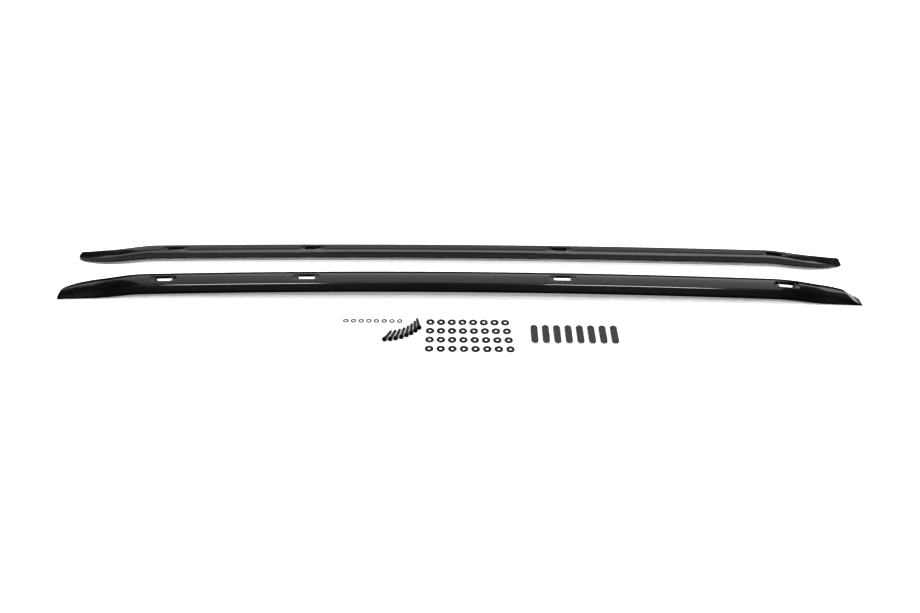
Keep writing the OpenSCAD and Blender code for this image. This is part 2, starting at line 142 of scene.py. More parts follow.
class Graph:
    """The node tree of one material or of the world."""

    def __init__(self, owner: Any) -> None:
        """Clears owner's node tree.

        Args:
            owner: a material or world that uses nodes.
        """
        owner.use_nodes = True
        self.tree = owner.node_tree
        self.tree.nodes.clear()

    def node(self, kind: str, settings: Optional[dict] = None, values: Optional[dict] = None) -> Any:
        """Adds a node.

        Args:
            kind: the node's type.
            settings: attributes of the node, which are set first.
            values: numbers, colours or wires for its inputs, by name or number.

        Returns:
            The node itself.
        """
        made = self.tree.nodes.new(kind)
        for name, value in (settings or {}).items():
            setattr(made, name, value)
        for name, value in (values or {}).items():
            socket = made.inputs[name]
            if isinstance(value, Wire):
                self.tree.links.new(value.socket, socket)
            else:
                socket.default_value = value
        return made

    def add(self, kind: str, settings: Optional[dict] = None, values: Optional[dict] = None,
            output: Union[int, str] = 0) -> Wire:
        """Adds a node as node() does and returns one of its outputs."""
        return Wire(self, self.node(kind, settings, values).outputs[output])

    def place(self) -> Wire:
        """Object coordinates in metres."""
        return self.add("ShaderNodeTexCoord", output="Object")

    def across(self) -> tuple:
        """The X and the Y of the Object coordinates, as two wires."""
        parts = self.node("ShaderNodeSeparateXYZ", None, {0: self.place()})
        return Wire(self, parts.outputs[0]), Wire(self, parts.outputs[1])

    def noise(self, place: Wire, scale: Number, detail: Number) -> Wire:
        """Noise between 0 and 1 at scale cells a metre."""
        return self.add("ShaderNodeTexNoise", None, {"Vector": place, "Scale": scale, "Detail": detail})

    def stretched(self, place: Wire, scale: Sequence[float]) -> Wire:
        """Coordinates scaled by a different number along each axis."""
        return self.add("ShaderNodeMapping", {"vector_type": "POINT"}, {"Vector": place, "Scale": scale})

    def tint(self, factor: Any, first: Sequence[float], second: Sequence[float]) -> Wire:
        """A colour between first and second."""
        values = {0: factor, 6: (*first, 1.0), 7: (*second, 1.0)}
        return self.add("ShaderNodeMix", {"data_type": "RGBA"}, values, output=2)

    def bump(self, height: Wire, depth: Number) -> Wire:
        """A normal from a height between 0 and 1 that stands for depth metres."""
        return self.add("ShaderNodeBump", None, {"Height": height, "Distance": depth})

    def seen_or_mirrored(self) -> Wire:
        """Tells the rays that look from those that light.

        Returns:
            1 on camera rays and on mirrored and transmitted rays, and 0 on others.
        """
        path = self.node("ShaderNodeLightPath")
        camera, glossy, through = (Wire(self, path.outputs[name]) for name in
                                   ("Is Camera Ray", "Is Glossy Ray", "Is Transmission Ray"))
        return (camera + glossy + through).at_most(1.0)

    def surface(self, shader: Wire) -> None:
        """Sends a shader to the material's surface."""
        self.node("ShaderNodeOutputMaterial", None, {"Surface": shader})


# Finishes


@dataclass(frozen=True)
class Finish:
    """A finish: a name, two close tones, a roughness and a fine grain.

    The colour wanders between the two tones, the roughness wanders about its middle, and a fine bump
    breaks up the reflections. Sizes of the patterns are in cells a metre, and the grain's depth is in
    metres. tone_edges are the noise values between which one tone turns into the other, and wander is how
    much finer the roughness changes than the colour.
    """

    name: str
    colour: tuple
    second: tuple
    roughness: float
    rough_spread: float
    tone_scale: float
    grain_scale: float
    grain_depth: float = 0.00002
    metallic: float = 0.0
    specular: float = 0.5
    coat: float = 0.0
    coat_roughness: float = 0.03
    stretch: tuple = (1.0, 1.0, 1.0)
    tone_edges: tuple = (0.35, 0.65)
    wander: float = 4.0

    def build(self) -> Any:
        """Makes the material.

        Returns:
            The Blender material.
        """
        material = bpy.data.materials.new(self.name)
        graph = Graph(material)
        place = graph.stretched(graph.place(), self.stretch)
        tone = graph.noise(place, self.tone_scale, 3)
        grain = graph.noise(place, self.grain_scale, 2)
        wander = graph.noise(place, self.tone_scale*self.wander, 4)
        values = {
            "Base Color": graph.tint(tone.step(*self.tone_edges), self.colour, self.second),
            "Roughness": wander*(2*self.rough_spread) + (self.roughness - self.rough_spread),
            "Metallic": self.metallic,
            "Specular IOR Level": self.specular,
            "Coat Weight": self.coat,
            "Coat Roughness": self.coat_roughness,
            "Normal": graph.bump(grain, self.grain_depth),
        }
        graph.surface(graph.add("ShaderNodeBsdfPrincipled", None, values))
        return material


GLOSS_BLACK = Finish(
    "gloss_black_paint", (0.003, 0.003, 0.0033), (0.0042, 0.0042, 0.0045), roughness=0.3, rough_spread=0.03,
    tone_scale=14.0, grain_scale=500.0, grain_depth=0.000004, specular=0.1, coat=1.0, coat_roughness=0.05)
BRIGHT_STRIP = Finish(
    "bright_aluminium", (0.92, 0.91, 0.89), (0.86, 0.85, 0.83), roughness=0.42, rough_spread=0.06,
    tone_scale=20.0, grain_scale=2500.0, grain_depth=0.000006, metallic=0.1, stretch=(0.04, 1.0, 1.0))
BLACK_RUBBER = Finish(
    "black_rubber", (0.016, 0.016, 0.016), (0.024, 0.023, 0.022), roughness=0.72, rough_spread=0.08,
    tone_scale=30.0, grain_scale=1800.0, grain_depth=0.00004)
FOOT_PLASTIC = Finish(
    "foot_plastic", (0.022, 0.022, 0.024), (0.03, 0.03, 0.032), roughness=0.5, rough_spread=0.08,
    tone_scale=40.0, grain_scale=2600.0, grain_depth=0.00004)
CAP_PLASTIC = Finish(
    "cap_plastic", (0.022, 0.023, 0.025), (0.028, 0.029, 0.031), roughness=0.5, rough_spread=0.05,
    tone_scale=60.0, grain_scale=3200.0, grain_depth=0.00006)
BLACK_STEEL = Finish(
    "black_steel", (0.004, 0.004, 0.0045), (0.007, 0.0066, 0.0063), roughness=0.42, rough_spread=0.08,
    tone_scale=120.0, grain_scale=3000.0, specular=0.2)
SPRING_STEEL = Finish(
    "spring_steel", (0.012, 0.012, 0.013), (0.022, 0.022, 0.022), roughness=0.5, rough_spread=0.08,
    tone_scale=160.0, grain_scale=4000.0, metallic=0.3, specular=0.2)
WASHER_BLACK = Finish(
    "washer_black", (0.003, 0.003, 0.0033), (0.005, 0.005, 0.005), roughness=0.45, rough_spread=0.06,
    tone_scale=150.0, grain_scale=3000.0, specular=0.2)
FINISHES = (GLOSS_BLACK, BRIGHT_STRIP, BLACK_RUBBER, FOOT_PLASTIC, CAP_PLASTIC, BLACK_STEEL, SPRING_STEEL,
            WASHER_BLACK)


# Meshes


class Skin:
    """Quads gathered from grids, welded into one closed mesh when it is built.

    A grid holds points in millimetres as rows of columns. The face between rows r and r+1 and columns c
    and c+1 joins their four points.
    """

    def __init__(self) -> None:
        """Starts with no faces."""
        self.points: list = []
        self.quads: list = []
        self.count = 0

    def grid(self, rows: np.ndarray, around: bool = False, holes: Sequence[tuple] = ()) -> "Skin":
        """Adds a grid.

        Args:
            rows: points, as an array of rows, columns and 3 coordinates.
            around: whether the last column joins the first.
            holes: rectangles of faces to leave out, each with its first and last row and its first and
                last column.

        Returns:
            The skin itself.
        """
        if around:
            rows = np.concatenate([rows, rows[:, :1]], axis=1)
        r, c = rows.shape[:2]
        number = np.arange(r*c).reshape(r, c) + self.count
        quads = np.stack([number[:-1, :-1], number[1:, :-1], number[1:, 1:], number[:-1, 1:]], axis=2)
        keep = np.ones(quads.shape[:2], bool)
        for row_0, row_1, column_0, column_1 in holes:
            keep[row_0:row_1, column_0:column_1] = False
        self.points.append(rows.reshape(-1, 3))
        self.quads.append(quads[keep])
        self.count += r*c
        return self

    def disc(self, ring: np.ndarray) -> "Skin":
        """Closes a ring of points with a fan of triangles around its middle."""
        middle = np.repeat(ring.mean(axis=0)[None], len(ring), axis=0)
        return self.grid(np.stack([ring, middle]), around=True)

    def tube(self, rings: np.ndarray) -> "Skin":
        """Adds rings of points as a tube that a disc closes at each end."""
        return self.grid(rings, around=True).disc(rings[0]).disc(rings[-1])

    def build(self, name: str, sharp_deg: float) -> Any:
        """Welds the points, drops what has no area and makes the object.

        Args:
            name: the object's name.
            sharp_deg: edges that fold more than this stay sharp.

        Returns:
            The Blender object, with its place in its mesh.
        """
        points = np.concatenate(self.points)*MM
        quads = np.concatenate(self.quads)
        keys = np.round(points/WELD).astype(np.int64)
        _, first, inverse = np.unique(keys, axis=0, return_index=True, return_inverse=True)
        quads = inverse.reshape(-1)[quads]
        following = np.roll(quads, -1, axis=1)
        repeats = (quads == following)
        whole = quads[~repeats.any(axis=1)]
        folded = quads[repeats.sum(axis=1) == 1]
        kept = ~(folded == np.roll(folded, -1, axis=1))
        triangles = folded[kept].reshape(-1, 3) if len(folded) else np.zeros((0, 3), int)
        mesh = bpy.data.meshes.new(name)
        mesh.from_pydata(points[first], [], whole.tolist() + triangles.tolist())
        mesh.update()
        work = bmesh.new()
        work.from_mesh(mesh)
        loose = [v for v in work.verts if not v.link_faces]
        bmesh.ops.delete(work, geom=loose, context="VERTS")
        bmesh.ops.recalc_face_normals(work, faces=work.faces)
        work.to_mesh(mesh)
        work.free()
        mesh.shade_smooth()
        mesh.set_sharp_from_angle(angle=math.radians(sharp_deg))
        made = bpy.data.objects.new(name, mesh)
        bpy.context.scene.collection.objects.link(made)
        return made


def turned(points: np.ndarray, axis: Axis, degrees: float) -> np.ndarray:
    """Points turned about an axis: the two coordinates a and b become a cos - b sin and a sin + b cos.

    Args:
        points: points in any shape of array, with 3 coordinates last.
        axis: what they turn about.
        degrees: the turn.

    Returns:
        The turned points.
    """
    turn = math.radians(degrees)
    a, b = axis.value
    out = points.copy()
    out[..., a] = points[..., a]*math.cos(turn) - points[..., b]*math.sin(turn)
    out[..., b] = points[..., a]*math.sin(turn) + points[..., b]*math.cos(turn)
    return out


def revolved(profile: Sequence[tuple], steps: int) -> np.ndarray:
    """Points of a profile turned once around Z: x = r cos a, y = r sin a, z = h.

    Args:
        profile: (radius, height) of its points.
        steps: points of a turn.

    Returns:
        Rows of the profile and columns of the turn.
    """
    radius, height = np.array(profile, float).T
    a = np.linspace(0, 2*np.pi, steps, endpoint=False)
    x, y = radius[:, None]*np.cos(a), radius[:, None]*np.sin(a)
    return np.stack([x, y, np.broadcast_to(height[:, None], x.shape)], axis=-1)


def oblong(length: float, width: float, angle: np.ndarray) -> np.ndarray:
    """Points where rays at the given angles leave a plate with half-round ends.

    On the straight sides the ray reaches y = width/2. Beyond them it meets the circle of radius width/2
    about the end's centre at distance c, at t = c cos a + sqrt(r^2 - (c sin a)^2).

    Args:
        length: the plate's length over its round ends.
        width: its width.
        angle: the rays' angles.

    Returns:
        One (x, y) for each ray.
    """
    r, c = width/2, (length - width)/2
    dx, dy = np.cos(angle), np.sin(angle)
    slope = np.maximum(np.abs(dy), 1e-9)
    far = c*np.abs(dx) + np.sqrt(np.maximum(r*r - (c*dy)**2, 0))
    t = np.where(np.abs(dx)/slope*r <= c, r/slope, far)
    return np.stack([t*dx, t*dy], axis=-1)


# The rails


@dataclass
class RailForm:
    """The shape of one rail: its driving sizes and the curves along it.

    x is measured from the middle of the rail, y from its outer side and z from its underside. The section
    runs from the outer foot up the belt to the edge, over the leaning top face to the crown, and down the
    inner side to the lip. The slots' places are measured from the front tip.
    """

    length: float = 1775.0
    width: float = 46.0
    crown_h: float = 24.5
    crown_y: float = 36.0
    edge_y: float = 10.0
    edge_h: float = 19.5
    belt_h: float = 6.2
    foot_tuck: float = 1.1
    wall: float = 2.5
    arch_rise: float = 17.0
    plan_bow: float = 5.0
    spread: float = 173.0
    nose_l: float = 165.0
    tip_height: float = 0.35
    round_l: float = 90.0
    tip_width: float = 0.45
    skirt_drop: float = 7.5
    skirt_end: float = 190.0
    skirt_full: float = 80.0
    rear_lean: float = 0.8
    front_lean: float = 0.1
    lean_reach: float = 60.0
    front_round: float = 6.0
    front_low: float = 0.68
    front_tip_height: float = 0.4
    facet: tuple = (1.28, 0.5, 0.12)
    facet_low: float = 1.9
    belt_r: float = 2.0
    edge_r: float = 4.0
    crown_r: float = 30.0
    top_r: float = 0.9
    inner_drop: float = 0.8
    seal_t: float = 1.5
    base_t: float = 2.0
    seal_inset: float = 0.6
    side_clear: float = 0.2
    base_start: float = 20.0
    gap_h: float = 10.3
    cavity_start: float = 17.0
    lip_start: float = 0.5
    lip_full: float = 110.0
    slot_l: float = 38.0
    slot_w: float = 14.0
    slot_y: float = 28.0
    seat_l: float = 58.0
    seat_w: float = 16.4
    seat_d: float = 1.2
    slots: tuple = (235.0, 550.0, 1113.0, 1606.0)
    crown_bulge: float = 0.35
    hollow_edge: float = 1.75
    hollow_crown_r: float = 27.0
    hollow_top_r: float = 3.5
    nose_stations: int = 46
    nose_crowding: float = 1.6
    station_step: float = 22.0
    station_gap: float = 2.5
    patch_margin: float = 8.0
    patch_steps: int = 24

    @property
    def base_top(self) -> float:
        """Height of the base strip's top."""
        return self.seal_t + self.base_t

    @property
    def slot_x(self) -> tuple:
        """Places of the slots, from the middle of the rail."""
        return tuple(s - self.length/2 for s in self.slots)

    @property
    def top_slope(self) -> float:
        """Slope of the top face across the rail, in radians."""
        return math.atan((self.crown_h - self.edge_h)/(self.crown_y - self.edge_y))

    @property
    def slot_h(self) -> float:
        """Height of the top face at the slots' middle line."""
        return self.edge_h + (self.slot_y - self.edge_y)*math.tan(self.top_slope)

    def tip_dist(self, x: np.ndarray) -> np.ndarray:
        """Distance from the nearer tip."""
        return self.length/2 - np.abs(x)

    @staticmethod
    def ease(t: np.ndarray, a: float, b: float) -> np.ndarray:
        """A smooth step from 0 at a to 1 at b: u u (3 - 2u)."""
        u = np.clip((t - a)/(b - a), 0, 1)
        return u*u*(3 - 2*u)

    def arch_part(self, x: np.ndarray) -> np.ndarray:
        """Share of the arch at x: 1 - (2x/length)^2."""
        return 1 - (2*x/self.length)**2

    def under_z(self, x: np.ndarray) -> np.ndarray:
        """Height of the underside: a long arch whose ends drop to the ground."""
        drop = 1 - self.ease(self.tip_dist(x), self.skirt_full, self.skirt_end)
        return self.skirt_drop + self.arch_rise*self.arch_part(x) - self.skirt_drop*drop

    def bow_y(self, x: np.ndarray) -> np.ndarray:
        """Inward bow of the rail, seen from above."""
        return self.plan_bow*self.arch_part(x)

    def height_part(self, x: np.ndarray) -> np.ndarray:
        """Share of the full section height: tip + (1 - tip) sin(90 degrees of the nose).

        The front tip is a little higher and rounds off over its last millimetres, as a quarter circle.

        Args:
            x: places along the rail.

        Returns:
            One share for each place.
        """
        rise = np.sin(np.pi/2*np.clip(self.tip_dist(x)/self.nose_l, 0, 1))
        tip = np.where(x < 0, self.front_tip_height, self.tip_height)
        t = np.clip(self.tip_dist(x)/self.front_round, 0, 1)
        blunt = self.front_low + (1 - self.front_low)*np.sqrt(1 - (1 - t)**2)
        return (tip + (1 - tip)*rise)*np.where(x < 0, blunt, 1.0)

    def width_part(self, x: np.ndarray) -> np.ndarray:
        """Share of the full section width: a quarter ellipse over the round of the nose."""
        t = np.clip(self.tip_dist(x)/self.round_l, 0, 1)
        return self.tip_width + (1 - self.tip_width)*np.sqrt(1 - (1 - t)**2)

    def lip_z(self, x: np.ndarray) -> np.ndarray:
        """Height of the inner wall's lower edge."""
        low = self.base_top + self.lip_start
        return low + (self.gap_h - low)*self.ease(self.tip_dist(x), self.cavity_start, self.lip_full)

    @property
    def patch_half(self) -> float:
        """Half the length of the part of the top that is made again around a slot."""
        return self.seat_l/2 + self.patch_margin

    def stations(self) -> np.ndarray:
        """Places of the sections: close together in the noses and at the slots, and wide between them.

        Returns:
            Places along the rail, in rising order.
        """
        nose = self.skirt_end*np.linspace(0, 1, self.nose_stations)**self.nose_crowding
        middle = np.arange(self.skirt_end, self.length - self.skirt_end, self.station_step)
        ends = [self.cavity_start, self.length - self.cavity_start]
        free = np.concatenate([nose, middle, self.length - nose, ends])
        patch = np.linspace(-self.patch_half, self.patch_half, self.patch_steps + 1)
        for s in self.slots:
            free = free[np.abs(free - s) > self.patch_half + self.station_gap]
        every = np.concatenate([free, *(s + patch for s in self.slots)])
        return np.unique(np.round(every, 4)) - self.length/2

    @staticmethod
    def rounded(corners: np.ndarray, radii: np.ndarray, steps: Sequence[int],
                between: Sequence[int]) -> np.ndarray:
        """Outlines whose corners are arcs that touch both of their sides.

        An arc's centre lies on the line that halves the corner, at reach/cos(half) from it, where reach is
        r/tan(half), and at most nearly half of the shorter side. Its points turn evenly between the two
        touching points.

        Args:
            corners: outlines, corners and (y, z).
            radii: outlines and corners. A corner with no radius stays one point.
            steps: steps of each corner's arc.
            between: points added on the straight after each corner.

        Returns:
            Outlines, points and (y, z).
        """
        parts = []
        count = corners.shape[1]
        nearly_half = 0.48
        for i in range(count):
            here = corners[:, i]
            if steps[i] == 0:
                parts.append(here[:, None])
                continue
            before, after = corners[:, i - 1] - here, corners[:, (i + 1) % count] - here
            reach_0 = np.linalg.norm(before, axis=1, keepdims=True)
            reach_1 = np.linalg.norm(after, axis=1, keepdims=True)
            a, b = before/reach_0, after/reach_1
            half = np.arccos(np.clip((a*b).sum(axis=1, keepdims=True), -1, 1))/2
            reach = np.minimum(radii[:, i:i + 1]/np.tan(half), nearly_half*np.minimum(reach_0, reach_1))
            line = (a + b)/np.linalg.norm(a + b, axis=1, keepdims=True)
            centre = here + line*reach/np.cos(half)
            start, end = here + a*reach - centre, here + b*reach - centre
            share = np.linspace(0, 1, steps[i] + 1)[None, :, None]
            turn = start[:, None]*(1 - share) + end[:, None]*share
            turn /= np.linalg.norm(turn, axis=2, keepdims=True)
            parts.append(centre[:, None] + turn*np.linalg.norm(start, axis=1)[:, None, None])
        joined = []
        for i, part in enumerate(parts):
            joined.append(part)
            if between[i] and i + 1 < count:
                share = np.linspace(0, 1, between[i] + 2)[1:-1][None, :, None]
                joined.append(part[:, -1:]*(1 - share) + parts[i + 1][:, :1]*share)
        return np.concatenate(joined, axis=1)

    def bulge(self, y: np.ndarray, k: np.ndarray) -> np.ndarray:
        """Slight crown of the top face: a half sine between its two long edges."""
        t = np.clip((y - self.edge_y*k)/((self.crown_y - self.edge_y)*k), 0, 1)
        return self.crown_bulge*np.sin(np.pi*t)

    def outer(self, x: np.ndarray) -> np.ndarray:
        """Outer face at each x, from the outer foot over the top to the inner lip.

        Args:
            x: places along the rail.

        Returns:
            Paths, points and (y, z).
        """
        h, k = self.height_part(x), self.width_part(x)
        w, flat = self.width*k, np.zeros_like(x)
        y = [self.foot_tuck*k, flat, self.edge_y*k, self.crown_y*k, w, w]
        z = [flat + self.seal_t, self.seal_t + (self.belt_h - self.seal_t)*h, self.edge_h*h, self.crown_h*h,
             (self.crown_h - self.inner_drop)*h, self.lip_z(x)]
        radii = np.stack([flat, self.belt_r*h, self.edge_r*h, self.crown_r*h, self.top_r*h, flat], axis=1)
        corners = np.stack([np.stack(y, axis=1), np.stack(z, axis=1)], axis=2)
        path = self.rounded(corners, radii, (0, 5, 8, 8, 8, 0), (0, 3, 9, 1, 3, 0))
        path[..., 1] += self.bulge(path[..., 0], k[:, None])*h[:, None]
        return path

    def inner(self, x: np.ndarray) -> np.ndarray:
        """Inner face at each x, one wall further in, from the inner lip back to the outer foot.

        Args:
            x: places along the rail.

        Returns:
            Paths, points and (y, z).
        """
        h, k = self.height_part(x), self.width_part(x)
        w, flat = self.width*k, np.zeros_like(x)
        y = [w - self.wall, w - self.wall, self.crown_y*k, self.edge_y*k + self.hollow_edge, flat + self.wall,
             self.foot_tuck*k + self.wall]
        z = [self.lip_z(x), (self.crown_h - self.inner_drop)*h - self.wall, self.crown_h*h - self.wall,
             self.edge_h*h - self.wall, self.seal_t + (self.belt_h - self.seal_t)*h, flat + self.seal_t]
        radii = np.stack([flat, self.hollow_top_r*h, self.hollow_crown_r*h, flat, flat, flat], axis=1)
        corners = np.stack([np.stack(y, axis=1), np.stack(z, axis=1)], axis=2)
        return self.rounded(corners, radii, (0, 4, 5, 0, 0, 0), (1, 0, 11, 1, 0, 0))

    def placed(self, outline: np.ndarray, x: np.ndarray, inset: float = 0.0) -> np.ndarray:
        """Outlines carried to their places at x.

        The rear tip is cut by a sloping plane, at z = a + b*(distance from the tip) - c*y, which stays
        above facet_low. Near the tips the outlines lean back in proportion to z.

        Args:
            outline: outlines, points and (y, z).
            x: their places.
            inset: how far below the plane this outline stays.

        Returns:
            Points in the rail's frame.
        """
        a, b, c = self.facet
        y, z = outline[..., 0], outline[..., 1]
        limit = np.maximum(a + b*self.tip_dist(x)[:, None] - c*y - inset, self.facet_low - 0.1*inset)
        z = np.where((x > 0)[:, None], np.minimum(z, limit), z)
        near = np.maximum(0, 1 - self.tip_dist(x)/self.lean_reach)
        lean = np.where(x > 0, self.rear_lean, -self.front_lean)*near*near
        lean = np.where(self.tip_dist(x) < self.lean_reach, lean, 0)
        return np.stack([x[:, None] - lean[:, None]*z, self.bow_y(x)[:, None] + y,
                         self.under_z(x)[:, None] + z], axis=2)

    def height_on(self, path: np.ndarray, y: np.ndarray) -> np.ndarray:
        """Height of a path at y, by a straight line between the two points that y lies between.

        Args:
            path: paths, points and (y, z), with y growing or falling along each.
            y: one place for each path.

        Returns:
            One height for each path.
        """
        across, up = path[..., 0], path[..., 1]
        if across[0, 0] > across[0, -1]:
            across, up = across[:, ::-1], up[:, ::-1]
        i = np.clip((across < y[:, None]).sum(axis=1), 1, across.shape[1] - 1)
        row = np.arange(len(y))
        low, high = across[row, i - 1], across[row, i]
        share = (y - low)/np.maximum(high - low, 1e-9)
        return up[row, i - 1]*(1 - share) + up[row, i]*share

    def slot_points(self, slot: float, flat: np.ndarray, depth: float) -> np.ndarray:
        """Points of a slot's own plane, turned to the rail's slope and to the top face.

        With s along the rail, t across the top face and n = -depth square to it: y = slot_y + t cos a -
        n sin a and z = slot_h + t sin a + n cos a, and then x' = x0 + s cos p - z sin p and
        z' = under + s sin p + z cos p.

        Args:
            slot: the slot's place along the rail.
            flat: points (s, t).
            depth: how far below the top face.

        Returns:
            Points in the rail's frame.
        """
        a = self.top_slope
        x0 = np.array([slot])
        p = math.atan(float((self.under_z(x0 + 0.5) - self.under_z(x0 - 0.5))[0]))
        s, t = flat[..., 0], flat[..., 1]
        y = self.slot_y + t*math.cos(a) + depth*math.sin(a)
        z = self.slot_h + t*math.sin(a) - depth*math.cos(a)
        x = slot + s*math.cos(p) - z*math.sin(p)
        up = float(self.under_z(x0)[0]) + s*math.sin(p) + z*math.cos(p)
        return np.stack([x, float(self.bow_y(x0)[0]) + y, up], axis=-1)

    def on_skin(self, points: np.ndarray, skin: Any, columns: tuple) -> np.ndarray:
        """Points dropped or lifted onto a skin at their own x and y.

        Args:
            points: points in the rail's frame.
            skin: outer or inner.
            columns: first and last point of the path that lie on the top face.

        Returns:
            The points on the skin.
        """
        x = points[..., 0]
        y = points[..., 1] - self.bow_y(x)
        path = skin(x)[:, columns[0]:columns[1] + 1]
        return np.stack([x, points[..., 1], self.under_z(x) + self.height_on(path, y)], axis=-1)

    def to_set(self, points: np.ndarray, side: Side) -> np.ndarray:
        """Points of a rail moved to their side of the set. The right rail is the mirror image.

        Args:
            points: points in the rail's frame.
            side: which rail.

        Returns:
            Points in the set's frame.
        """
        out = points.copy()
        way = 1 if side is Side.LEFT else -1
        out[..., 1] = RAILS_MIDDLE_Y - way*(self.spread/2 - points[..., 1])
        return out


@dataclass
class SideRail:
    """One rail: its painted shell, bright base strip, rubber seal and four feet.

    outer_top and inner_top are the first and last points of a section in the windows around the slots, and
    outer_reach and inner_reach those that lie on the top face. dome_rings hold, from a tip's rim inwards,
    the share of the rim's size and the height, which front_dome and rear_dome multiply. strip_soft and
    seal_soft are the radii of the bars' edges, and the parts are how many solids each piece stands for.
    """

    side: Side
    form: RailForm = field(default_factory=RailForm)
    outer_top: tuple = (20, 36)
    inner_top: tuple = (7, 23)
    outer_reach: tuple = (6, 38)
    inner_reach: tuple = (6, 24)
    edge_round: float = 0.35
    front_dome: float = 0.8
    rear_dome: float = 0.1
    dome_rings: tuple = ((1.0, 0.0), (0.93, 0.45), (0.8, 0.75), (0.5, 1.0))
    strip_soft: float = 0.3
    seal_soft: float = 0.5
    shell_parts: int = 7
    bar_parts: int = 6
    foot_count: int = 4

    @staticmethod
    def window(points: np.ndarray, rows: tuple, columns: tuple) -> np.ndarray:
        """The ring of grid points around a rectangle of faces.

        Args:
            points: the grid.
            rows: first and last row of the rectangle.
            columns: its first and last column.

        Returns:
            Points once round, starting at the first corner.
        """
        r0, r1 = rows
        c0, c1 = columns
        sides = [points[r0:r1, c0], points[r1, c0:c1], points[r1:r0:-1, c1], points[r0, c1:c0:-1]]
        return np.concatenate(sides)

    def slot_rings(self, slot: float, top: np.ndarray, roof: np.ndarray) -> np.ndarray:
        """Rings of points from the top face, down a slot and its seat, and out over the hollow's roof.

        Every ring has a point on the same ray from the slot's middle. The first rings lie between the
        window's edge and the seat, the next go round its lip and floor, and the last spread out again.

        Args:
            slot: the slot's place along the rail.
            top: ring of the window in the outer face.
            roof: ring of the window in the inner face.

        Returns:
            Rows of rings.
        """
        form, r = self.form, self.edge_round
        middle = form.slot_points(slot, np.zeros((1, 2)), 0.0)[0]
        angle = np.arctan2((top[:, 1] - middle[1])/math.cos(form.top_slope), top[:, 0] - middle[0])

        def ring(size: tuple, grow: float, depth: float) -> np.ndarray:
            """An oblong of a length and a width, grown by grow all round, at a depth in the slot."""
            flat = oblong(size[0] + 2*grow, size[1] + 2*grow, angle)
            return form.slot_points(slot, flat, depth)

        seat, hole = (form.seat_l, form.seat_w), (form.slot_l, form.slot_w)
        lip = form.on_skin(ring(seat, r, 0.0), form.outer, self.outer_reach)
        rings = [top]
        rings += [form.on_skin(top*(1 - s) + lip*s, form.outer, self.outer_reach) for s in (0.35, 0.7)]
        rings.append(lip)
        soft, floor = 0.3*r, form.seat_d
        steps = ((seat, soft, soft), (seat, 0.0, r), (seat, 0.0, floor - r), (seat, -soft, floor - soft),
                 (seat, -r, floor), (hole, r/2, floor), (hole, 0.0, floor + r/2))
        rings += [ring(*step) for step in steps]
        rings.append(form.on_skin(ring(hole, 0.0, form.wall), form.inner, self.inner_reach))
        rings.append(roof)
        return np.stack(rings)

    def shell(self) -> Any:
        """The painted shell: an open channel between two solid noses, with four slots.

        The outer face is a grid of sections from tip to tip. The inner face is a grid over the hollow,
        which starts at cavity_start from each tip. Lips, step faces and domed tips close the two.

        Returns:
            The Blender object.
        """
        form, skin = self.form, Skin()
        x = form.stations()
        inside = form.tip_dist(x) >= form.cavity_start - 1e-6
        first, last = int(np.argmax(inside)), len(x) - 1 - int(np.argmax(inside[::-1]))
        outer = form.placed(form.outer(x), x)
        hollow_x = x[first:last + 1]
        inner = form.placed(form.inner(hollow_x), hollow_x, form.wall)
        end = inner.shape[1] - 1
        outer_holes, inner_holes = [], []
        for slot in form.slot_x:
            rows = (int(np.argmin(np.abs(x - slot + form.patch_half))),
                    int(np.argmin(np.abs(x - slot - form.patch_half))))
            roof_rows = (rows[0] - first, rows[1] - first)
            outer_holes.append((*rows, *self.outer_top))
            inner_holes.append((*roof_rows, *self.inner_top))
            top = self.window(outer, rows, self.outer_top)
            mirrored_top = (end - self.inner_top[1], end - self.inner_top[0])
            roof = self.window(inner[:, ::-1], roof_rows, mirrored_top)
            skin.grid(self.slot_rings(slot, top, roof), around=True)
        skin.grid(outer, holes=outer_holes)
        skin.grid(inner, holes=inner_holes)
        skin.grid(np.stack([outer[first:last + 1, -1], inner[:, 0]], axis=1))
        skin.grid(np.stack([inner[:, -1], outer[first:last + 1, 0]], axis=1))
        for near, away in ((np.arange(first, -1, -1), 0), (np.arange(last, len(x)), -1)):
            self.close_nose(skin, x[near], outer[near], inner[away])
        skin.points = [form.to_set(p, self.side) for p in skin.points]
        return skin.build(f"{self.side.value}_shell_painted", sharp_deg=30.0)

    def close_nose(self, skin: Skin, x: np.ndarray, outer: np.ndarray, inner: np.ndarray) -> None:
        """Closes one nose: its underside, the step face of the hollow and the domed tip.

        Args:
            skin: where the faces go.
            x: places of the nose's sections, from its root to the tip.
            outer: the outer face there.
            inner: the hollow's section at the root.
        """
        form = self.form
        k = form.width_part(x)
        seal = np.full_like(x, form.seal_t)
        corner_in = form.placed(np.stack([form.foot_tuck*k + form.wall, seal], axis=1)[:, None], x)[:, 0]
        corner_out = form.placed(np.stack([form.width*k, seal], axis=1)[:, None], x)[:, 0]
        share = np.linspace(0, 1, 4)[None, :, None]
        wall = outer[:, -1:]*(1 - share) + corner_out[:, None]*share
        floor = corner_out[:, None]*(1 - share) + corner_in[:, None]*share
        skin.grid(wall)
        skin.grid(floor)
        skin.grid(np.stack([corner_in, outer[:, 0]], axis=1))
        skin.disc(np.concatenate([inner[:-1], floor[0, :0:-1], wall[0, ::-1]]))
        rim = np.concatenate([outer[-1], wall[-1, 1:], floor[-1, 1:]])
        self.dome(skin, rim, -self.front_dome if x[-1] < 0 else self.rear_dome)

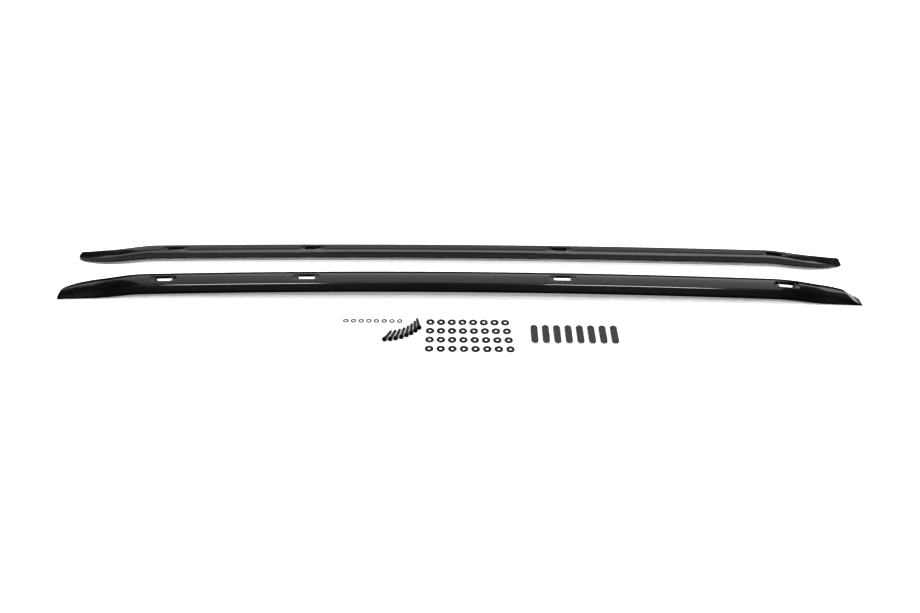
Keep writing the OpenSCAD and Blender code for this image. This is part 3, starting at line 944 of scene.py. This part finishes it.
    def dome(self, skin: Skin, rim: np.ndarray, way: float) -> None:
        """Closes a tip with a low dome: each ring is nearer the middle and stands further out.

        Args:
            skin: where the faces go.
            rim: the tip's rim.
            way: how far the dome stands out along x.
        """
        middle = rim.mean(axis=0)
        rings = [middle + (rim - middle)*share + np.array([way*out, 0, 0]) for share, out in self.dome_rings]
        skin.grid(np.stack(rings), around=True)
        skin.disc(rings[-1])

    def bar(self, name: str, low: tuple, high: tuple, start: float, soft: float) -> Any:
        """A flat bar that follows the rail: a rectangle with rounded corners, carried along it.

        Args:
            name: the object's name.
            low: distance from the outer foot, and the height of the lower face.
            high: distance from the inner side, and the height of the upper face.
            start: distance of its ends from the tips.
            soft: radius of its long edges.

        Returns:
            The Blender object.
        """
        form, skin = self.form, Skin()
        x = form.stations()
        half = form.length/2 - start
        x = np.unique(np.round(np.concatenate([[-half], x[np.abs(x) < half - 0.5], [half]]), 4))
        k, flat = form.width_part(x), np.zeros_like(x)
        y0, y1 = form.foot_tuck*k + low[0], form.width*k - high[0]
        z0, z1 = flat + low[1], flat + high[1]
        corners = np.stack([np.stack([y0, y0, y1, y1], axis=1), np.stack([z0, z1, z1, z0], axis=1)], axis=2)
        path = form.rounded(corners, np.full(corners.shape[:2], soft), (3, 3, 3, 3), (1, 6, 1, 0))
        skin.tube(form.placed(path, x))
        skin.points = [form.to_set(p, self.side) for p in skin.points]
        return skin.build(name, sharp_deg=40.0)

    def dress(self, frame: dict, finishes: dict) -> list:
        """Builds the rail's pieces over their solids.

        Args:
            frame: the loaded frame.
            finishes: materials by slot.

        Returns:
            The pieces' names.
        """
        side, form = self.side.value, self.form
        shell = self.shell()
        strip = self.bar(f"{side}_base_strip_bright", (form.wall + form.side_clear, form.seal_t),
                         (form.seal_inset, form.base_top), form.base_start, self.strip_soft)
        seal = self.bar(f"{side}_seal_rubber", (form.seal_inset, 0.0), (form.seal_inset, form.seal_t),
                        0.0, self.seal_soft)
        for piece, node, count, slot in ((shell, "shell", self.shell_parts, "gloss_black_paint"),
                                         (strip, "base_strip", self.bar_parts, "bright_aluminium"),
                                         (seal, "seal", self.bar_parts, "black_rubber")):
            finish_piece(piece, [f"{side}_{node}_{i + 1}" for i in range(count)], slot, finishes)
        for i in range(self.foot_count):
            paint(frame["nodes"][f"{side}_foot_{i + 1}"], finishes["foot_plastic"])
        return [shell.name, strip.name, seal.name]


def paint(piece: Any, material: Any) -> None:
    """Gives a piece one material."""
    piece.data.materials.clear()
    piece.data.materials.append(material)


def finish_piece(piece: Any, nodes: Sequence[str], slot: str, finishes: dict) -> None:
    """Paints a piece, ties it to the body and lets it stand for its solids.

    Args:
        piece: the object.
        nodes: the solids that it replaces.
        slot: its material slot.
        finishes: materials by slot.
    """
    paint(piece, finishes[slot])
    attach(piece, "root")
    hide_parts(*nodes)


# The loose fixings


@dataclass
class SlotCap:
    """A slot's cap, lying with its clip skirt on the ground.

    cover and skirt hold the rings of the section: how much less than the full length and width, and the
    height from the cover's top or underside. squash crowds the rays towards the round ends.
    """

    number: int
    length: float = 56.4
    width: float = 14.8
    thick: float = 1.6
    skirt_h: float = 3.2
    skirt_wall: float = 1.4
    fit: float = 0.4
    first_x: float = 158.6
    pitch: float = 24.1
    row_y: float = 190.0
    rays: int = 96
    squash: float = 0.45
    cover: tuple = ((2.6, -0.05), (1.5, -0.12), (0.9, -0.28), (0.3, -0.6), (0.0, -1.0))
    rim: tuple = ((0.0, 0.15), (0.3, 0.0))
    skirt: tuple = ((0.0, 0.0), (0.0, -1.0), (-0.5, -1.5), (-0.2, -2.4))

    def build(self) -> Any:
        """Makes the cap as rings of points on rays from its middle.

        The rings go from the middle of the cover over its rounded rim, under it to the skirt, down, and
        up again inside.

        Returns:
            The Blender object.
        """
        low, wall = self.skirt_h, 2*self.skirt_wall
        top = low + self.thick
        length, width = RailForm.slot_l - self.fit, RailForm.slot_w - self.fit
        inside = ((0.6, 0.0), (wall - 0.3, 0.0), (wall, 0.3), (wall, low))
        rings = [(0.3*self.length, 0.3*self.width, top), (0.62*self.length, 0.62*self.width, top - 0.01)]
        rings += [(self.length - less, self.width - less, top + z) for less, z in self.cover]
        rings += [(self.length - less, self.width - less, low + z) for less, z in self.rim]
        rings += [(length - less, width - less, low + z) for less, z in self.skirt]
        rings += [(length - less, width - less, z) for less, z in inside]
        turn = np.linspace(0, 2*np.pi, self.rays, endpoint=False)
        angle = np.arctan2(np.sin(turn)*self.squash, np.cos(turn))
        flat = np.stack([oblong(a, b, angle) for a, b, _ in rings])
        z = np.array([h for _, _, h in rings])
        points = np.concatenate([flat, np.broadcast_to(z[:, None, None], (*flat.shape[:2], 1))], axis=2)
        at = np.array([self.first_x + (self.number - 1)*self.pitch, RAILS_MIDDLE_Y - self.row_y, 0.0])
        skin = Skin().tube(turned(points, Axis.Z, 90.0) + at)
        return skin.build(f"cap_{self.number}", sharp_deg=35.0)


@dataclass
class SocketBolts:
    """Eight socket head bolts in a fan, each on the rim of its head and the end of its thread."""

    count: int = 8
    thread_d: float = 6.0
    length: float = 28.0
    head_d: float = 10.0
    head_h: float = 6.0
    key_w: float = 5.0
    key_depth: float = 3.0
    pitch: float = 1.0
    plain: float = 4.0
    knurls: int = 40
    fan_r: float = 87.4
    fan_x: float = -158.5
    fan_y: float = -122.2
    fan_start: float = 2.1
    fan_step: float = 7.7
    turn_first: float = 23.0
    turn_step: float = -4.8
    roll_step: float = 37.0
    face_bevel: float = 0.7
    knurl_depth: float = 0.012
    thread_depth: float = 0.5
    end_bevel: float = 1.0

    def head(self) -> np.ndarray:
        """The head's side: a turned profile whose radius rises and falls around the knurl.

        Returns:
            Rows of the profile and columns of the turn.
        """
        h, r, shank = self.head_h, self.head_d/2, self.thread_d/2
        profile = [(r - self.face_bevel, -h, 0), (r - 0.25, -h + 0.12, 0), (r, -h + 0.5, 0),
                   (r, -h + 0.9, 1), (r, -1.1, 1), (r, -0.5, 0), (r - 0.15, -0.1, 0), (r - 0.4, 0.0, 0),
                   (shank + 0.3, 0.0, 0), (shank, 0.3, 0)]
        around = self.knurls*4
        rows = revolved([(radius, z) for radius, z, _ in profile], around)
        wave = np.cos(np.linspace(0, 2*np.pi*self.knurls, around, endpoint=False))
        knurled = np.array([share for _, _, share in profile])[:, None]
        rows[..., :2] *= (1 - knurled*self.knurl_depth*(1 + wave))[..., None]
        return rows

    def socket(self) -> np.ndarray:
        """The hexagon socket: rings from the head's face down to its floor.

        Returns:
            Rows of rings.
        """
        h, across = self.head_h, self.key_w/2
        angle = np.linspace(0, 2*np.pi, self.knurls*4, endpoint=False)
        six = across/np.cos((angle + np.pi/6) % (np.pi/3) - np.pi/6)
        rings = ((np.full_like(angle, self.head_d/2 - self.face_bevel), 0.0),
                 (np.full_like(angle, across + 0.75), 0.02), (six, 0.3), (six, self.key_depth),
                 (six*0.5, self.key_depth + 0.6))
        return np.stack([np.stack([r*np.cos(angle), r*np.sin(angle), np.full_like(angle, depth - h)], axis=1)
                         for r, depth in rings])

    def thread(self) -> np.ndarray:
        """The threaded shank, from the plain neck to the end.

        The radius at height z and angle a is the crest less the groove's depth times a triangle wave of
        z/pitch - a/turn. The groove fades in after the neck, and the end is a cone.

        Returns:
            Rows of rings.
        """
        columns, per_turn = 24, 8
        radius = self.thread_d/2
        z = np.arange(self.plain, self.length - 0.8, self.pitch/per_turn)
        a = np.linspace(0, 2*np.pi, columns, endpoint=False)
        phase = (z[:, None]/self.pitch - a[None]/(2*np.pi)) % 1.0
        wave = np.abs(2*phase - 1)
        fade_in = np.clip((z - self.plain)/1.5, 0, 1)
        fade_out = np.clip((self.length - 0.6 - z)/1.2, 0.35, 1)
        cone = 0.35*(1 - np.clip((self.length - z)/1.6, 0, 1))
        groove = self.thread_depth*self.pitch*wave*fade_in[:, None]*fade_out[:, None]
        r = radius - 0.02 - groove - cone[:, None]
        rows = np.stack([r*np.cos(a), r*np.sin(a), np.broadcast_to(z[:, None], r.shape)], axis=2)
        neck = revolved([(radius, 0.3), (radius - 0.05, self.plain - 0.3)], columns)
        end = revolved([(radius - self.end_bevel, self.length)], columns)
        return np.concatenate([neck, rows, end])

    def laid(self, rows: np.ndarray, number: int) -> np.ndarray:
        """Points of a standing bolt, rolled, laid on the rim of its head and turned into its place.

        Args:
            rows: points of the bolt with its thread upwards.
            number: which bolt of the fan, from 0.

        Returns:
            The points in the set's frame.
        """
        tilt = math.degrees(math.atan((self.head_d - self.thread_d)/2/self.length))
        around = math.radians(self.fan_start + number*self.fan_step)
        at = np.array([self.fan_x + self.fan_r*math.sin(around),
                       RAILS_MIDDLE_Y + self.fan_y - self.fan_r*math.cos(around),
                       self.head_d/2*math.cos(math.radians(tilt))])
        flat = turned(turned(rows, Axis.Z, self.roll_step*number), Axis.X, -90.0)
        turn = -(self.turn_first + number*self.turn_step)
        return turned(turned(flat, Axis.X, -tilt), Axis.Z, turn) + at

    def build(self) -> Any:
        """Makes the eight bolts as one object.

        Returns:
            The Blender object.
        """
        skin = Skin()
        parts = (self.head(), self.socket(), self.thread())
        for i in range(self.count):
            head, socket, thread = (self.laid(rows, i) for rows in parts)
            for rows in (head, socket, thread):
                skin.grid(rows, around=True)
            skin.disc(socket[-1]).disc(thread[-1])
        return skin.build("bolts_threaded", sharp_deg=28.0)


@dataclass
class SpringWashers:
    """Eight split spring washers in a row, each one turn of a square bar that climbs a little."""

    count: int = 8
    outer_d: float = 11.8
    hole_d: float = 6.3
    thick: float = 1.6
    gap_deg: float = 12.0
    climb: float = 0.55
    first_x: float = -244.0
    pitch: float = 16.5
    row_y: float = 149.5
    turn_step: float = 70.0
    soft: float = 0.2
    steps: int = 49

    def build(self) -> Any:
        """Makes the washers as one object: a section with bevelled corners, carried round a climbing circle.

        Returns:
            The Blender object.
        """
        skin = Skin()
        a = np.radians(np.linspace(0, 360 - self.gap_deg, self.steps))
        r0, r1, t, c = self.hole_d/2, self.outer_d/2, self.thick, self.soft
        section = np.array([(r0 + c, 0), (r1 - c, 0), (r1, c), (r1, t - c), (r1 - c, t), (r0 + c, t),
                            (r0, t - c), (r0, c)])
        lift = self.climb*(a/a[-1])
        for i in range(self.count):
            x = section[None, :, 0]*np.cos(a)[:, None]
            y = section[None, :, 0]*np.sin(a)[:, None]
            z = section[None, :, 1] + lift[:, None]
            at = np.array([self.first_x + i*self.pitch, RAILS_MIDDLE_Y - self.row_y, 0.0])
            skin.tube(turned(np.stack([x, y, z], axis=2), Axis.Z, self.turn_step*i) + at)
        return skin.build("spring_washers_split", sharp_deg=40.0)


@dataclass
class FlatWashers:
    """One row of eight flat washers with rounded rims. Each row is spread a little wider than the last."""

    row: int
    count: int = 8
    outer_d: float = 18.0
    hole_d: float = 6.4
    thick: float = 1.8
    soft: float = 0.45
    first_x: float = -62.2
    pitch_x: float = 22.9
    spread: float = 0.4
    row_y: float = 152.0
    pitch_y: float = 28.0
    steps: int = 56

    def build(self) -> Any:
        """Makes the row as one object: a section with quarter-round edges turned around each hole.

        Returns:
            The Blender object.
        """
        r0, r1, t, c = self.hole_d/2, self.outer_d/2, self.thick, self.soft
        quarter = np.radians(np.linspace(0, 90, 5))
        corners = [(r1 - c, c, -90), (r1 - c, t - c, 0), (r0 + c, t - c, 90), (r0 + c, c, 180)]
        profile = [(y + c*math.cos(q + math.radians(turn)), z + c*math.sin(q + math.radians(turn)))
                   for y, z, turn in corners for q in quarter]
        rows = revolved(profile + profile[:1], self.steps)
        skin = Skin()
        pitch = self.pitch_x + self.spread*(self.row - 1)
        y = RAILS_MIDDLE_Y - self.row_y - (self.row - 1)*self.pitch_y
        for i in range(self.count):
            skin.grid(rows + np.array([self.first_x + i*pitch, y, 0.0]), around=True)
        return skin.build(f"washers_row_{self.row}", sharp_deg=40.0)


# The studio


@dataclass(frozen=True)
class Lamp:
    """An area lamp: where it stands, what it aims at, its sides, its radiance and if mirrors see it."""

    name: str
    at: tuple
    aim: tuple
    size: tuple
    radiance: float
    mirrored: bool = True

    def build(self) -> None:
        """Makes the lamp. Its power is radiance times pi times its area."""
        data = bpy.data.lights.new(self.name, "AREA")
        data.shape = "RECTANGLE"
        data.size, data.size_y = self.size
        data.energy = self.radiance*math.pi*self.size[0]*self.size[1]
        made = bpy.data.objects.new(self.name, data)
        bpy.context.scene.collection.objects.link(made)
        turn = (Vector(self.aim) - Vector(self.at)).to_track_quat("-Z", "Y")
        made.matrix_world = Matrix.Translation(self.at) @ turn.to_matrix().to_4x4()
        made.visible_camera = False
        made.visible_glossy = self.mirrored


LAMPS = (
    Lamp("overhead_lamp", (0.0, -0.1, 2.3), (0.0, -0.1, 0.0), (3.2, 2.2), 1.3, mirrored=False),
    Lamp("left_lamp", (-1.2, -1.6, 2.3), (-0.3, 0.1, 0.0), (0.8, 0.6), 14.0),
    Lamp("right_lamp", (0.95, -1.6, 2.3), (0.2, 0.1, 0.0), (0.9, 0.6), 14.0),
)


@dataclass
class Studio:
    """Floor, backdrop, lamps and camera, in metres.

    floor_tone is the paper's own tone, floor_seen the brighter one that the camera sees, and floor_glow what
    is added to it; behind the front rail the glow is raised further, painted light that lifts the shade under
    the back rail. The mirror strengths are those of a painted reflection that mirrors see on the floor
    instead of the lit paper. behind_edges are the y between which the floor in front of the front rail turns
    into the floor behind it, tip_edges and past_edges the x at which the painted reflection brightens near
    the rear tips, and white_edges the distances at which the paper turns plain white.
    """

    camera_at: tuple = (0.0058, -1.5211, 1.2594)
    pitch_deg: float = 39.977
    yaw_deg: float = -0.187
    roll_deg: float = 0.34
    lens: float = 35.0
    sensor: float = 36.0
    floor_size: float = 14.0
    floor_tone: float = 0.8
    floor_seen: float = 2.1
    floor_glow: float = 0.335
    painted_light_behind: float = 0.45
    painted_reflection_front: float = 0.02
    painted_reflection_behind: float = 0.47
    painted_reflection_tip: float = 0.5
    painted_reflection_past: float = 0.6
    behind_edges: tuple = (0.02, 0.07)
    tip_edges: tuple = (0.84, 0.92)
    past_edges: tuple = (0.86, 0.94)
    white_edges: tuple = (1.5, 2.6)
    reflection_sheet_z: float = 2.2
    reflection_sheet_near: tuple = (0.72, 0.1)
    reflection_sheet_far: tuple = (3.95, 3.1)
    reflection_sheet_low: float = 0.52
    reflection_sheet_gain: float = 1.8
    reflection_sheet_left: float = 0.5
    gain_edges: tuple = (0.2, 2.9)
    left_edges: tuple = (-2.5, -0.6)
    strip_at: tuple = (-1.5, 2.3)
    strip_half_y: float = 0.4
    strip_strength: float = 30.0
    wall_y: float = 3.6
    wall_half: float = 2.6
    wall_low: float = 0.02
    wall_top: float = 1.6
    wall_strength: float = 0.4
    cloth_reach: float = 4.2
    cloth_top: float = 3.4

    def camera(self) -> Any:
        """Places the camera by its pitch below the horizon, its turn from +Y and its roll.

        Returns:
            The camera object.
        """
        pitch, yaw, roll = (math.radians(v) for v in (self.pitch_deg, self.yaw_deg, self.roll_deg))
        ahead = Vector((math.sin(yaw)*math.cos(pitch), math.cos(yaw)*math.cos(pitch), -math.sin(pitch)))
        right = Vector((math.cos(yaw), -math.sin(yaw), 0.0))
        up = right.cross(ahead)
        right, up = math.cos(roll)*right + math.sin(roll)*up, -math.sin(roll)*right + math.cos(roll)*up
        data = bpy.data.cameras.new("camera")
        data.lens = self.lens
        data.sensor_width = self.sensor
        made = bpy.data.objects.new("camera", data)
        bpy.context.scene.collection.objects.link(made)
        turn = Matrix((right, up, -ahead)).transposed().to_4x4()
        made.matrix_world = Matrix.Translation(self.camera_at) @ turn
        bpy.context.scene.camera = made
        return made

    @staticmethod
    def sheet(name: str, corners: Sequence[tuple], material: Any) -> Any:
        """A flat four-cornered stage piece.

        Args:
            name: the object's name.
            corners: its corners, in order.
            material: its material.

        Returns:
            The Blender object.
        """
        mesh = bpy.data.meshes.new(name)
        mesh.from_pydata(list(corners), [], [(0, 1, 2, 3)])
        made = bpy.data.objects.new(name, mesh)
        bpy.context.scene.collection.objects.link(made)
        mesh.materials.append(material)
        return made

    def floor(self) -> None:
        """White floor: lit paper near the set and plain white further out.

        The camera sees it lit, with a glow added. Behind the front rail the glow is stronger: painted light
        that lifts the shade under the back rail. Mirrors see a painted reflection instead of the lit floor:
        an emission that is darker in front of the set than behind it, and white past the rear tips.
        """
        material = bpy.data.materials.new("floor_paper")
        graph = Graph(material)
        plain = graph.add("ShaderNodeBsdfDiffuse", None, {"Color": (self.floor_tone,)*3 + (1.0,)})
        bright = graph.add("ShaderNodeBsdfDiffuse", None, {"Color": (self.floor_seen,)*3 + (1.0,)})
        x, y = graph.across()
        behind = y.step(*self.behind_edges)
        # Painted light: behind the front rail the glow is stronger, lifting the shade under the back rail.
        glow = graph.add("ShaderNodeEmission", None, {"Strength": behind*self.painted_light_behind + self.floor_glow})
        seen = graph.add("ShaderNodeAddShader", None, {0: bright, 1: glow})
        camera = graph.add("ShaderNodeLightPath", output="Is Camera Ray")
        mirror = graph.add("ShaderNodeLightPath", output="Is Glossy Ray")
        lit = graph.add("ShaderNodeMixShader", None, {0: camera, 1: plain, 2: seen})
        # Painted reflection: glossy rays see this emission instead of the lit floor, dark in front of the
        # set, brighter behind it and near and past the rear tips.
        mirrored = behind*(x.step(*self.tip_edges)*self.painted_reflection_tip + self.painted_reflection_behind)
        mirrored = mirrored + x.step(*self.past_edges)*self.painted_reflection_past + self.painted_reflection_front
        image = graph.add("ShaderNodeEmission", None, {"Strength": mirrored})
        near = graph.add("ShaderNodeMixShader", None, {0: mirror, 1: lit, 2: image})
        white = graph.add("ShaderNodeEmission", None, {"Strength": graph.seen_or_mirrored()})
        length = {"operation": "LENGTH"}
        reach = graph.add("ShaderNodeVectorMath", length, {0: graph.place()}, output="Value")
        far = reach.step(*self.white_edges)
        graph.surface(graph.add("ShaderNodeMixShader", None, {0: far, 1: near, 2: white}))
        s = self.floor_size
        self.sheet("floor", ((-s, -s, 0), (s, -s, 0), (s, s, 0), (-s, s, 0)), material)

    def glowing(self, name: str, strength: Any, corners: Sequence[tuple], lights: bool = True) -> None:
        """Makes a sheet that glows and that the camera doesn't see.

        Args:
            name: the object's name.
            strength: a number, or a function of the sheet's graph that gives a wire.
            corners: its corners, in order.
            lights: whether it lights matt surfaces too, and not only shows in mirrors.
        """
        material = bpy.data.materials.new(name)
        graph = Graph(material)
        value = strength(graph) if callable(strength) else strength
        graph.surface(graph.add("ShaderNodeEmission", None, {"Strength": value}))
        made = self.sheet(name, corners, material)
        made.visible_camera = False
        made.visible_diffuse = lights

    def ceiling(self) -> None:
        """Large sheet above and behind the set that glows only in mirrors, a painted reflection on the rails'
        top faces: wider and brighter to the back and weaker at the left.
        """

        def strength(graph: Graph) -> Wire:
            """Strength of the painted reflection sheet.

            Args:
                graph: the sheet's node tree.

            Returns:
                A strength that grows towards the back and falls towards the left.
            """
            x, y = graph.across()
            back = y.step(*self.gain_edges)*self.reflection_sheet_gain + self.reflection_sheet_low
            return back*(x.step(*self.left_edges)*(1 - self.reflection_sheet_left) + self.reflection_sheet_left)

        near, far, z = self.reflection_sheet_near, self.reflection_sheet_far, self.reflection_sheet_z
        corners = ((-near[0], near[1], z), (-far[0], far[1], z), (far[0], far[1], z), (near[0], near[1], z))
        # Painted reflection: this sheet lights nothing and only shows in the glossy faces.
        self.glowing("ceiling_reflection_sheet", strength, corners, lights=False)

    def strips(self) -> None:
        """Two bright strips over the camera, which only mirrors see: they draw the line on the outer edge."""
        (y, z), deep = self.strip_at, self.strip_half_y
        for name, x, half in (("left_strip", -1.19, 0.42), ("right_strip", 0.92, 0.46)):
            corners = ((x - half, y - deep, z), (x + half, y - deep, z), (x + half, y + deep, z),
                       (x - half, y + deep, z))
            self.glowing(name, self.strip_strength, corners, lights=False)

    def backdrop(self) -> None:
        """White wall behind the set."""
        x, y, z, low = self.wall_half, self.wall_y, self.wall_top, self.wall_low
        self.glowing("back_wall", self.wall_strength, ((-x, y, low), (x, y, low), (x, y, z), (-x, y, z)))

    def flags(self) -> None:
        """Dark cloth around the set, which only mirrors see."""
        material = bpy.data.materials.new("black_cloth")
        graph = Graph(material)
        graph.surface(graph.add("ShaderNodeBsdfDiffuse", None, {"Color": (0.01, 0.01, 0.01, 1.0)}))
        r, top = self.cloth_reach, self.cloth_top
        walls = {
            "front": ((-r, -r, 0), (r, -r, 0), (r, -r, top), (-r, -r, top)),
            "left": ((-r, -r, 0), (-r, r, 0), (-r, r, top), (-r, -r, top)),
            "right": ((r, -r, 0), (r, r, 0), (r, r, top), (r, -r, top)),
            "back": ((-r, r, 0), (r, r, 0), (r, r, top), (-r, r, top)),
            "top": ((-r, -r, top), (r, -r, top), (r, r, top), (-r, r, top)),
        }
        for name, corners in walls.items():
            self.sheet(f"black_cloth_{name}", corners, material).visible_camera = False

    @staticmethod
    def world() -> None:
        """White surroundings for the camera and for mirrors, and a dim room for the light."""
        world = bpy.data.worlds.new("surroundings")
        bpy.context.scene.world = world
        graph = Graph(world)
        shader = graph.add("ShaderNodeBackground", None, {"Strength": graph.seen_or_mirrored()*0.9 + 0.1})
        graph.node("ShaderNodeOutputWorld", None, {"Surface": shader})

    def build(self) -> None:
        """Sets up the whole studio."""
        bpy.context.scene.view_settings.view_transform = "Standard"
        self.camera()
        self.world()
        self.floor()
        self.ceiling()
        self.strips()
        self.backdrop()
        self.flags()
        for lamp in LAMPS:
            lamp.build()


def main() -> None:
    """Loads the frame, builds every piece and reports it."""
    logging.basicConfig(level=logging.INFO, format="%(name)s: %(message)s")
    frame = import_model()
    Studio().build()
    finishes = {finish.name: finish.build() for finish in FINISHES}
    for side in Side:
        for name in SideRail(side).dress(frame, finishes):
            LOG.info("built %s", name)
    caps, washer_rows = 8, 4
    loose = [(SlotCap(i).build(), [f"slot_cap_{i}"], "cap_plastic") for i in range(1, caps + 1)]
    loose.append((SocketBolts().build(), ["socket_bolts"], "black_steel"))
    loose.append((SpringWashers().build(), ["spring_washers"], "spring_steel"))
    loose += [(FlatWashers(row).build(), [f"flat_washers_row_{row}"], "washer_black")
              for row in range(1, washer_rows + 1)]
    for piece, nodes, slot in loose:
        finish_piece(piece, nodes, slot, finishes)
        LOG.info("built %s", piece.name)


if __name__ == "__main__":
    main()
